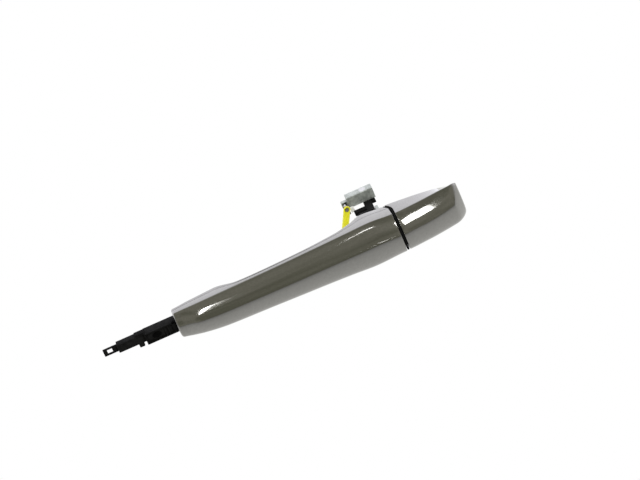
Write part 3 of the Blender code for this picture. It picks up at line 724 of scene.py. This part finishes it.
    def cap_ring(self, x: float, inset: float = 0.0) -> list[Vector]:
        """Closed ring of the end cap, drawn forward where it follows the grip's corner.

        Args:
            x: place along the cap.
            inset: how much smaller the ring is.

        Returns:
            The ring.
        """
        share = (x - self.cap_start) / (self.cap_end - self.cap_start)
        outline = self.cap_outline(share, self.pad_back, inset)
        near = 1 - smooth_step(share / self.cap_blend)
        radius = self.corner_radius + self.seal_room
        return [Vector((x - self.corner_pull(p.x, radius) * near, p.x, p.y)) for p in outline]

    def shell(self, name: str, outside: list[list[Vector]], inside: list[list[Vector]],
              crease: int) -> bpy.types.Object:
        """Make a walled shell and round the crease of its outer skin.

        Args:
            name: the piece's name.
            outside: rings of the outer skin.
            inside: rings of the inner skin.
            crease: index of the crease in each ring.

        Returns:
            The piece.
        """
        work = tub(outside, inside)
        work.verts.index_update()
        on_crease = {crease + len(ring) * k for k, ring in enumerate(outside)}
        edges = [e for e in work.edges if {v.index for v in e.verts} <= on_crease]
        round_edges(work, edges, self.crease_round, self.crease_segments)
        return settle(work, name, self.shell_angle)

    def seal(self, rubber: bpy.types.Material) -> None:
        """Build the black rubber seal between grip and cap, round the grip's rear corner; its black also
        stands in as painted shade for the gap.

        Args:
            rubber: its material.
        """
        rings = []
        for k in range(self.seal_steps + 1):
            share = k / self.seal_steps
            offset = self.seal_gap + share * (self.seal_room - 2 * self.seal_gap)
            lip = self.seal_gap * (2 * share - 1) ** 2
            back = self.pad_back - self.seal_setback * (1 - share)
            x, radius = self.grip_end + offset, self.corner_radius + offset
            outline = self.cap_outline(0.0, back, self.seal_inset + lip)
            rings.append([Vector((x - self.corner_pull(p.x, radius), p.x, p.y)) for p in outline])
        # A rubber seal whose black also fills the gap as painted shade, where the two walls would be in
        # shadow.
        piece = settle(loft(rings), "seal_lip_and_gap_shade", self.seal_angle)
        place_piece(piece, Body.CAP, Slot.RUBBER, rubber, "joint_seal")

    def inward(self, x: float, start: float, end: float) -> float:
        """Place inside a shell that stands behind a place on its outside.

        Args:
            x: place on the outside.
            start: the shell's start.
            end: the shell's end.

        Returns:
            The place inside.
        """
        return start + self.wall + (x - start) / (end - start) * (end - start - 2 * self.wall)

    def grip(self, paint: bpy.types.Material) -> None:
        """Build both shells of the grip.

        Args:
            paint: their material.
        """
        radii = (self.front_round, self.rear_round)
        outside, inside, back = [], [], []
        for x in self.ends(self.grip_start, self.grip_end, radii):
            inset = self.grip_inset(x, *radii)
            deep = self.inward(x, self.grip_start, self.grip_end)
            outside.append(self.grip_ring(x, self.outer_outline(x, inset)))
            inside.append(self.grip_ring(deep, self.outer_outline(deep, self.wall)))
            back.append(self.grip_ring(x, self.inner_outline(x, inset)))
        outer = self.shell("grip_outer_skin", outside, inside, 1)
        place_piece(outer, Body.GRIP, Slot.PAINT, paint, "grip_outer_shell")
        inner = settle(loft(back), "grip_inner_skin", self.shell_angle)
        place_piece(inner, Body.GRIP, Slot.PAINT, paint, "grip_inner_shell")

    def cap(self, paint: bpy.types.Material) -> None:
        """Build the shell of the end cap.

        Args:
            paint: its material.
        """
        start, end = self.cap_start, self.cap_end
        outside, inside = [], []
        for x in self.ends(start, end, (self.rear_round, self.cap_round)):
            rounding = self.end_inset(end - x, self.cap_round) * self.cap_round_share
            outside.append(self.cap_ring(x, self.end_inset(x - start, self.rear_round) + rounding))
            inside.append(self.cap_ring(self.inward(x, start, end), self.wall))
        piece = self.shell("end_cap_skin", outside, inside, self.crease_steps)
        place_piece(piece, Body.CAP, Slot.PAINT, paint, "end_cap_shell")

    def build(self, paint: bpy.types.Material, rubber: bpy.types.Material) -> None:
        """Build both grip shells, the end cap and the seal between them.

        Args:
            paint: material of the shells.
            rubber: material of the seal.
        """
        self.grip(paint)
        self.cap(paint)
        self.seal(rubber)


@dataclass
class HingeArm:
    """Black moulded arm with its pierced tab, ribs, finger, notch and pocket."""

    low: Vector = field(default_factory=lambda: corner("hinge_arm", False))
    grip_start: float = field(default_factory=lambda: corner("grip_outer_shell", False).x)
    centre_z: float = -2.4 * MM
    centre_y: float = -3.5 * MM
    tab_length: float = 12.0 * MM
    tab_height: float = 6.2 * MM
    tab_thickness: float = 2.0 * MM
    tab_rim: float = 3.2 * MM
    hole: tuple[float, float] = (4.4 * MM, 3.8 * MM)
    mid_half: tuple[float, float] = (3.5 * MM, 3.7 * MM)
    step: float = 16.0 * MM
    notch: float = 2.6 * MM
    finger: float = 4.4 * MM
    finger_drop: float = 3.6 * MM
    box_length: float = 27.0 * MM
    box_half: tuple[float, float] = (5.5 * MM, 5.0 * MM)
    box_shift: tuple[float, float] = (-1.0 * MM, -0.8 * MM)
    wall: float = 1.3 * MM
    pocket: float = 1.6 * MM
    flange: float = 3.4 * MM
    oval: tuple[float, float] = (4.0 * MM, 2.5 * MM)
    oval_share: float = 0.36
    oval_rise: float = 0.8
    lap: float = 1.0 * MM
    edge: float = 0.35 * MM
    thin_edge: float = 0.3 * MM
    ledge_inset: float = 0.5 * MM
    finger_side: tuple[float, float] = (0.4 * MM, 2.0 * MM)
    ribs: tuple[float, ...] = (3.0 * MM, 7.2 * MM, 11.4 * MM)
    rib: float = 0.9 * MM
    rib_height: float = 0.25 * MM
    pocket_ribs: tuple[float, float] = (0.62, 0.72)
    end_gap: float = 0.3 * MM
    tongue_x: tuple[float, float] = (-2.0 * MM, 15.0 * MM)
    tongue_y: tuple[float, float] = (-9.6 * MM, -5.2 * MM)
    tongue_half: float = 3.5 * MM

    def tab(self, work: bmesh.types.BMesh) -> None:
        """Add the end tab as a rounded frame about its hole.

        Args:
            work: the bmesh that grows.
        """
        x, y, z = self.low.x, self.centre_y, self.centre_z
        half_y, half_z = self.tab_thickness / 2, self.tab_height / 2
        hole_x = x + self.tab_rim
        hole_end = hole_x + self.hole[0]
        rim = half_z - self.hole[1] / 2
        for low_x, high_x in ((x, hole_x), (hole_end, x + self.tab_length + self.lap)):
            block(work, (low_x, y - half_y, z - half_z), (high_x, y + half_y, z + half_z), self.edge)
        for low_z in (z - half_z, z + half_z - rim):
            block(work, (hole_x - self.lap, y - half_y, low_z),
                  (hole_end + self.lap, y + half_y, low_z + rim), self.thin_edge)

    def middle(self, work: bmesh.types.BMesh, start: float, end: float) -> None:
        """Add the middle stretch with its step, shallow ribs and the finger.

        Args:
            work: the bmesh that grows.
            start: where the stretch starts.
            end: where it ends.
        """
        y, z = self.centre_y, self.centre_z
        half_y, half_z = self.mid_half
        high_x = end + self.lap
        block(work, (start, y - half_y, z - half_z), (high_x, y + half_y, z + half_z), 0.45 * MM, 3)
        block(work, (start + self.step, y - half_y + self.ledge_inset, z),
              (high_x, y + half_y - self.ledge_inset, z + half_z + self.lap), self.thin_edge)
        tip, root = end - self.notch - self.finger, end - self.notch
        block(work, (tip, y - half_y + self.finger_side[0], z - half_z - self.finger_drop),
              (root, y + half_y - self.finger_side[1], z), 0.6 * MM, 3)
        for place in self.ribs:
            low_x = start + place
            block(work, (low_x, y - half_y - self.rib_height, z - half_z + self.rib),
                  (low_x + self.rib, y - half_y + self.lap, z + half_z - self.rib), 0.1 * MM, 1)

    def box(self, work: bmesh.types.BMesh, start: float, end: float) -> None:
        """Add the box stretch: a body with a framed pocket, an oval boss and ribs in it.

        Args:
            work: the bmesh that grows.
            start: where the stretch starts.
            end: where it ends.
        """
        y, z = self.centre_y + self.box_shift[0], self.centre_z + self.box_shift[1]
        half_y, half_z = self.box_half
        front, floor = y - half_y, y - half_y + self.pocket
        block(work, (start, floor, z - half_z), (end, y + half_y, z + half_z), 0.5 * MM, 3)
        back = floor + self.lap
        for low_x, high_x in ((start, start + self.wall), (end - self.flange, end)):
            block(work, (low_x, front, z - half_z), (high_x, back, z + half_z), self.edge)
        for low_z in (z - half_z, z + half_z - self.wall):
            block(work, (start + 0.2 * MM, front, low_z),
                  (end - 0.2 * MM, back, low_z + self.wall), self.edge)
        oval = bmesh.ops.create_uvsphere(work, u_segments=32, v_segments=16, radius=1.0)
        centre = Vector((start + self.oval_share * (end - start), floor, z))
        scale = Matrix.Diagonal((self.oval[0], self.pocket * self.oval_rise, self.oval[1], 1.0))
        bmesh.ops.transform(work, verts=oval["verts"], matrix=Matrix.Translation(centre) @ scale)
        for share in self.pocket_ribs:
            x = start + share * (end - start)
            block(work, (x, front + 0.3 * MM, z - half_z + self.wall),
                  (x + self.lap, back, z + half_z - self.wall), 0.15 * MM, 1)

    def build(self, material: bpy.types.Material) -> None:
        """Build the arm and set it in place of its CAD node.

        Args:
            material: its material.
        """
        work = bmesh.new()
        end = self.grip_start - self.end_gap
        box_start = end - self.box_length
        self.tab(work)
        self.middle(work, self.low.x + self.tab_length, box_start)
        self.box(work, box_start, end)
        block(work, (end + self.tongue_x[0], self.tongue_y[0], self.centre_z - self.tongue_half),
              (end + self.tongue_x[1], self.tongue_y[1], self.centre_z + self.tongue_half), self.thin_edge)
        piece = settle(work, "hinge_arm_moulding")
        place_piece(piece, Body.GRIP, Slot.BLACK, material, "hinge_arm")


@dataclass
class RearHook:
    """Leg, die-cast block and hanging tag behind the grip's rear end, placed about the pin."""

    leg_low: Vector = field(default_factory=lambda: corner("hook_post", False))
    leg_high: Vector = field(default_factory=lambda: corner("hook_post", True))
    cast_low: Vector = field(default_factory=lambda: corner("hook_block", False))
    cast_high: Vector = field(default_factory=lambda: corner("hook_block", True))
    pin_low: Vector = field(default_factory=lambda: corner("hook_pin", False))
    pin_high: Vector = field(default_factory=lambda: corner("hook_pin", True))
    leg_x: tuple[float, float] = (-44.0 * MM, -37.6 * MM)
    leg_z: tuple[float, float] = (-3.0 * MM, 9.0 * MM)
    bar_y: tuple[float, float] = (20.1 * MM, 25.1 * MM)
    bar_z: tuple[float, float] = (5.6 * MM, 8.8 * MM)
    ear: float = 5.0 * MM
    tag_width: float = 5.6 * MM
    tag_length: float = 36.0 * MM
    tag_thickness: float = 1.2 * MM
    tag_gap: float = 0.6 * MM
    tag_slant: float = math.radians(25.0)
    tag_hole: float = 1.75 * MM
    tag_turns: int = 16
    tip_share: float = 0.4
    cast_floor: float = 8.0 * MM
    cast_rib: float = 0.35 * MM
    web_low: float = 8.3 * MM
    ear_depth: float = 4.0 * MM
    ear_hole: float = 1.9 * MM
    ear_cut: float = 0.8 * MM
    gap: float = 0.3 * MM
    lap: float = 1.0 * MM
    edge: float = 0.4 * MM
    webs: tuple[float, ...] = (4.0 * MM, 8.0 * MM, 12.0 * MM, 16.0 * MM)
    web_width: float = 1.1 * MM
    foot_rise: float = 2.2 * MM
    foot_half: float = 3.0 * MM

    def leg(self, material: bpy.types.Material) -> None:
        """Build the black leg with its bar, toe, foot and side webs.

        Args:
            material: its material.
        """
        work = bmesh.new()
        low_x, high_x = self.leg_x
        low_z, high_z = self.leg_z
        front = self.cast_low.y
        toe_top = self.cast_floor - self.gap
        block(work, (low_x, self.leg_low.y, low_z), (high_x, front - self.gap, high_z), 0.5 * MM, 3)
        block(work, (low_x, front - 2 * self.lap, low_z), (high_x, self.leg_high.y, toe_top), self.edge)
        block(work, (self.leg_low.x, self.bar_y[0], self.bar_z[0]),
              (low_x + self.lap, self.bar_y[1], self.bar_z[1]), self.edge)
        block(work, (high_x - self.lap, front - self.foot_half, toe_top - self.foot_rise),
              (self.leg_high.x, front + self.foot_half, toe_top - 0.1 * MM), self.edge)
        for y in self.webs:
            block(work, (low_x - self.gap, y, low_z + self.lap),
                  (low_x + self.lap, y + self.web_width, high_z - self.lap), 0.12 * MM, 1)
        piece = settle(work, "hook_leg_moulding")
        place_piece(piece, Body.GRIP, Slot.BLACK, material, "hook_post")

    def cast(self, material: bpy.types.Material) -> None:
        """Build the die-cast block with its ribs, draft step and pierced ear.

        Args:
            material: its material.
        """
        work = bmesh.new()
        low, high = self.cast_low, self.cast_high
        start = low.x + self.ear
        rib = self.cast_rib
        block(work, (start, low.y + rib, self.cast_floor), (high.x, high.y, high.z - rib), 0.6 * MM, 3)
        bands = ((start + 0.4 * MM, 2.0 * MM), (start + 9.6 * MM, 1.3 * MM), (high.x - 4.4 * MM, 3.4 * MM))
        for x, width in bands:
            block(work, (x, low.y, self.web_low), (x + width, high.y - self.lap, high.z), 0.3 * MM)
        pin_x = (self.pin_low.x + self.pin_high.x) / 2
        pin_z = (self.pin_low.z + self.pin_high.z) / 2
        ear = bmesh.new()
        half = self.ear / 2
        inner = half - self.ear_cut
        outline = [(half + self.lap, half), (-inner, half), (-half, inner), (-half, -inner),
                   (-inner, -half), (half + self.lap, -half)]
        plate(ear, outline, (high.y - self.ear_depth, high.y), self.ear_hole)
        bmesh.ops.translate(ear, verts=ear.verts, vec=(pin_x, 0, pin_z))
        mesh = bpy.data.meshes.new("ear")
        ear.to_mesh(mesh)
        ear.free()
        work.from_mesh(mesh)
        bpy.data.meshes.remove(mesh)
        piece = settle(work, "hook_casting")
        place_piece(piece, Body.GRIP, Slot.ZINC, material, "hook_block")

    def tag(self, material: bpy.types.Material) -> None:
        """Build the yellow tag that hangs on the pin.

        Args:
            material: its material.
        """
        work = bmesh.new()
        half = self.tag_width / 2
        turns = [math.pi * k / self.tag_turns for k in range(self.tag_turns + 1)]
        tip, shoulder = self.tip_share * half, 2 * half - self.tag_length
        outline = [(half * math.cos(a), half * math.sin(a)) for a in turns]
        outline += [(-half, shoulder), (-tip, half - self.tag_length), (tip, half - self.tag_length),
                    (half, shoulder)]
        plate(work, outline, (0.0, self.tag_thickness), self.tag_hole, 0.25 * MM)
        for side in (-1, 1):
            x = side * (half - 0.6 * MM)
            block(work, (x - self.gap, -0.2 * MM, -self.tag_length + 2.2 * half),
                  (x + self.gap, 0.4 * MM, -half), 0.1 * MM, 1)
        place = Vector(((self.pin_low.x + self.pin_high.x) / 2, self.pin_low.y + self.tag_gap,
                        (self.pin_low.z + self.pin_high.z) / 2))
        turn = Matrix.Translation(place) @ Matrix.Rotation(self.tag_slant, 4, "Y")
        bmesh.ops.transform(work, verts=work.verts, matrix=turn)
        piece = settle(work, "hanging_tag")
        place_piece(piece, Body.TAG, Slot.TAG, material, "transit_tag")

    def build(self, materials: dict[Slot, bpy.types.Material]) -> None:
        """Build the hook's leg, die-cast block and hanging tag.

        Args:
            materials: the material of each slot.
        """
        self.leg(materials[Slot.BLACK])
        self.cast(materials[Slot.ZINC])
        self.tag(materials[Slot.TAG])


@dataclass
class Studio:
    """Camera, floor, backdrop and soft lights."""

    elevation: float = math.radians(30.0)
    roll: float = math.radians(23.8)
    distance: float = 2.0
    target: Vector = field(default_factory=lambda: Vector((-88.3 * MM, 4.75 * MM, 8.2 * MM)))
    view_width: float = 512.0 * MM
    sensor: float = 36.0
    dark_side: tuple[tuple, tuple] = ((0.27, 0.27, 0.2), (0.44, 0.43, 0.35))
    room_scale: float = 2.2
    bright_side: tuple[float, float, float] = (1.7, 1.7, 1.8)
    floor_z: float = -0.16
    floor_front: float = -0.85
    floor_half: float = 3.0
    floor_bright: float = -0.08
    floor_glow: tuple[float, float, float] = (0.74, 0.74, 0.71)
    floor_colour: tuple[float, float, float] = (0.2, 0.2, 0.2)
    side_blend: float = 0.25
    room_spread: tuple[float, float] = (0.4, 0.6)
    # Name, point lit in millimetres, way to the light, size and power of each light.
    glints: tuple[tuple, ...] = (
        ("cap_window", (-12, -22, 10), (0.34, -0.70, 0.65), (0.34, 0.30), 5.0),
        ("grip_window", (-182, -20, 4), (-0.28, -0.68, 0.63), (0.035, 0.26), 0.5),
        ("upper_tube", (-78, -22, 12), (0.0, -0.587, 0.81), (0.10, 0.012), 0.05),
        ("lower_tube", (-40, -27, 4), (0.0, -0.996, -0.04), (0.05, 0.01), 0.02),
    )

    def camera(self) -> None:
        """Make the camera, rolled so that the handle lies on a slant."""
        e, r = self.elevation, self.roll
        back = Vector((0, -math.cos(e), math.sin(e)))
        level_up = Vector((0, math.sin(e), math.cos(e)))
        side = Vector((1, 0, 0))
        right = side * math.cos(r) - level_up * math.sin(r)
        up = side * math.sin(r) + level_up * math.cos(r)
        data = bpy.data.cameras.new("camera")
        data.sensor_width = self.sensor
        data.lens = self.sensor * self.distance / self.view_width
        item = bpy.data.objects.new("camera", data)
        bpy.context.scene.collection.objects.link(item)
        turn = Matrix((right, up, back)).transposed().to_4x4()
        item.matrix_world = Matrix.Translation(self.target + back * self.distance) @ turn
        bpy.context.scene.camera = item

    def light(self, name: str, place: Vector, aim: Vector, size: tuple[float, float], power: float) -> None:
        """Add a rectangular soft light.

        Args:
            name: the light's name.
            place: where it stands.
            aim: the point it faces.
            size: width and height.
            power: its power in watts.
        """
        data = bpy.data.lights.new(name, "AREA")
        data.shape = "RECTANGLE"
        data.size, data.size_y = size
        data.energy = power
        item = bpy.data.objects.new(name, data)
        bpy.context.scene.collection.objects.link(item)
        item.location = place
        item.rotation_euler = (Vector(aim) - Vector(place)).to_track_quat("-Z", "Y").to_euler()

    def world(self) -> None:
        """Bright room behind and above, and a dark side in front of the handle."""
        scene = bpy.context.scene
        world = bpy.data.worlds.new("studio")
        scene.world = world
        world.use_nodes = True
        tree = world.node_tree
        coords = tree.nodes.new("ShaderNodeTexCoord")
        split = tree.nodes.new("ShaderNodeSeparateXYZ")
        ramp = tree.nodes.new("ShaderNodeMapRange")
        ramp.inputs["From Min"].default_value = -self.side_blend
        ramp.inputs["From Max"].default_value = self.side_blend
        tree.links.new(coords.outputs["Generated"], split.inputs[0])
        tree.links.new(split.outputs["Y"], ramp.inputs["Value"])
        cloud = tree.nodes.new("ShaderNodeTexNoise")
        cloud.inputs["Scale"].default_value = self.room_scale
        cloud.inputs["Detail"].default_value = 3.0
        tree.links.new(coords.outputs["Generated"], cloud.inputs["Vector"])
        spread = tree.nodes.new("ShaderNodeMapRange")
        spread.inputs["From Min"].default_value = self.room_spread[0]
        spread.inputs["From Max"].default_value = self.room_spread[1]
        tree.links.new(cloud.outputs["Fac"], spread.inputs["Value"])
        room = mix_colours(tree, spread.outputs["Result"], self.dark_side[0], self.dark_side[1])
        sides = mix_colours(tree, ramp.outputs["Result"], None, self.bright_side)
        tree.links.new(room.result, sides.low)
        seen = tree.nodes.new("ShaderNodeLightPath")
        shown = mix_colours(tree, seen.outputs["Is Camera Ray"], None, (1.0, 1.0, 1.0))
        tree.links.new(sides.result, shown.low)
        tree.links.new(shown.result, tree.nodes["Background"].inputs["Color"])
        scene.view_settings.view_transform = "Standard"

    def floor(self) -> None:
        """Floor that glows pale for the paint to mirror, its glow darker towards its front edge; the camera
        sees past it.
        """
        work = bmesh.new()
        centre = Vector((0, self.floor_front + self.floor_half, self.floor_z))
        bmesh.ops.create_grid(work, x_segments=1, y_segments=1, size=self.floor_half,
                              matrix=Matrix.Translation(centre))
        piece = settle(work, "floor")
        material = bpy.data.materials.new("glowing_floor")
        material.use_nodes = True
        tree = material.node_tree
        shader = tree.nodes["Principled BSDF"]
        shader.inputs["Base Color"].default_value = (*self.floor_colour, 1.0)
        shader.inputs["Roughness"].default_value = 0.9
        shader.inputs["Emission Strength"].default_value = 1.0
        coords = tree.nodes.new("ShaderNodeTexCoord")
        split = tree.nodes.new("ShaderNodeSeparateXYZ")
        fade = tree.nodes.new("ShaderNodeMapRange")
        fade.inputs["From Min"].default_value = self.floor_front
        fade.inputs["From Max"].default_value = self.floor_bright
        tree.links.new(coords.outputs["Object"], split.inputs[0])
        tree.links.new(split.outputs["Y"], fade.inputs["Value"])
        # Painted glow: the floor gives off light of its own, none at its front edge and full towards the
        # back.
        glow = mix_colours(tree, fade.outputs["Result"], (0.0, 0.0, 0.0), self.floor_glow)
        tree.links.new(glow.result, shader.inputs["Emission Color"])
        piece.data.materials.append(material)
        piece.visible_camera = False

    def build(self) -> None:
        """Set up the studio."""
        self.camera()
        self.world()
        self.floor()
        for name, place, way, size, power in self.glints:
            aim = Vector(place) * MM
            self.light(name, aim + Vector(way), aim, size, power)


def dress_cad(materials: dict[Slot, bpy.types.Material]) -> None:
    """Give every CAD node its slot's finish.

    Args:
        materials: the material of each slot.
    """
    for row in frame["record"]["subparts"]:
        item = frame["nodes"][row["node"]]
        item.data.materials.clear()
        item.data.materials.append(materials[Slot(row["material_slot"])])
        LOG.info("%s: %s", row["node"], row["material_slot"])


def main() -> None:
    """Build the looks in order."""
    logging.basicConfig(level=logging.INFO, format="%(name)s %(message)s")
    effects = Effects()
    materials = {slot: finish.build(effects) for slot, finish in FINISHES.items()}
    dress_cad(materials)
    PaintedShells().build(materials[Slot.PAINT], materials[Slot.RUBBER])
    HingeArm().build(materials[Slot.BLACK])
    RearHook().build(materials)
    Studio().build()


if __name__ == "__main__":
    main()
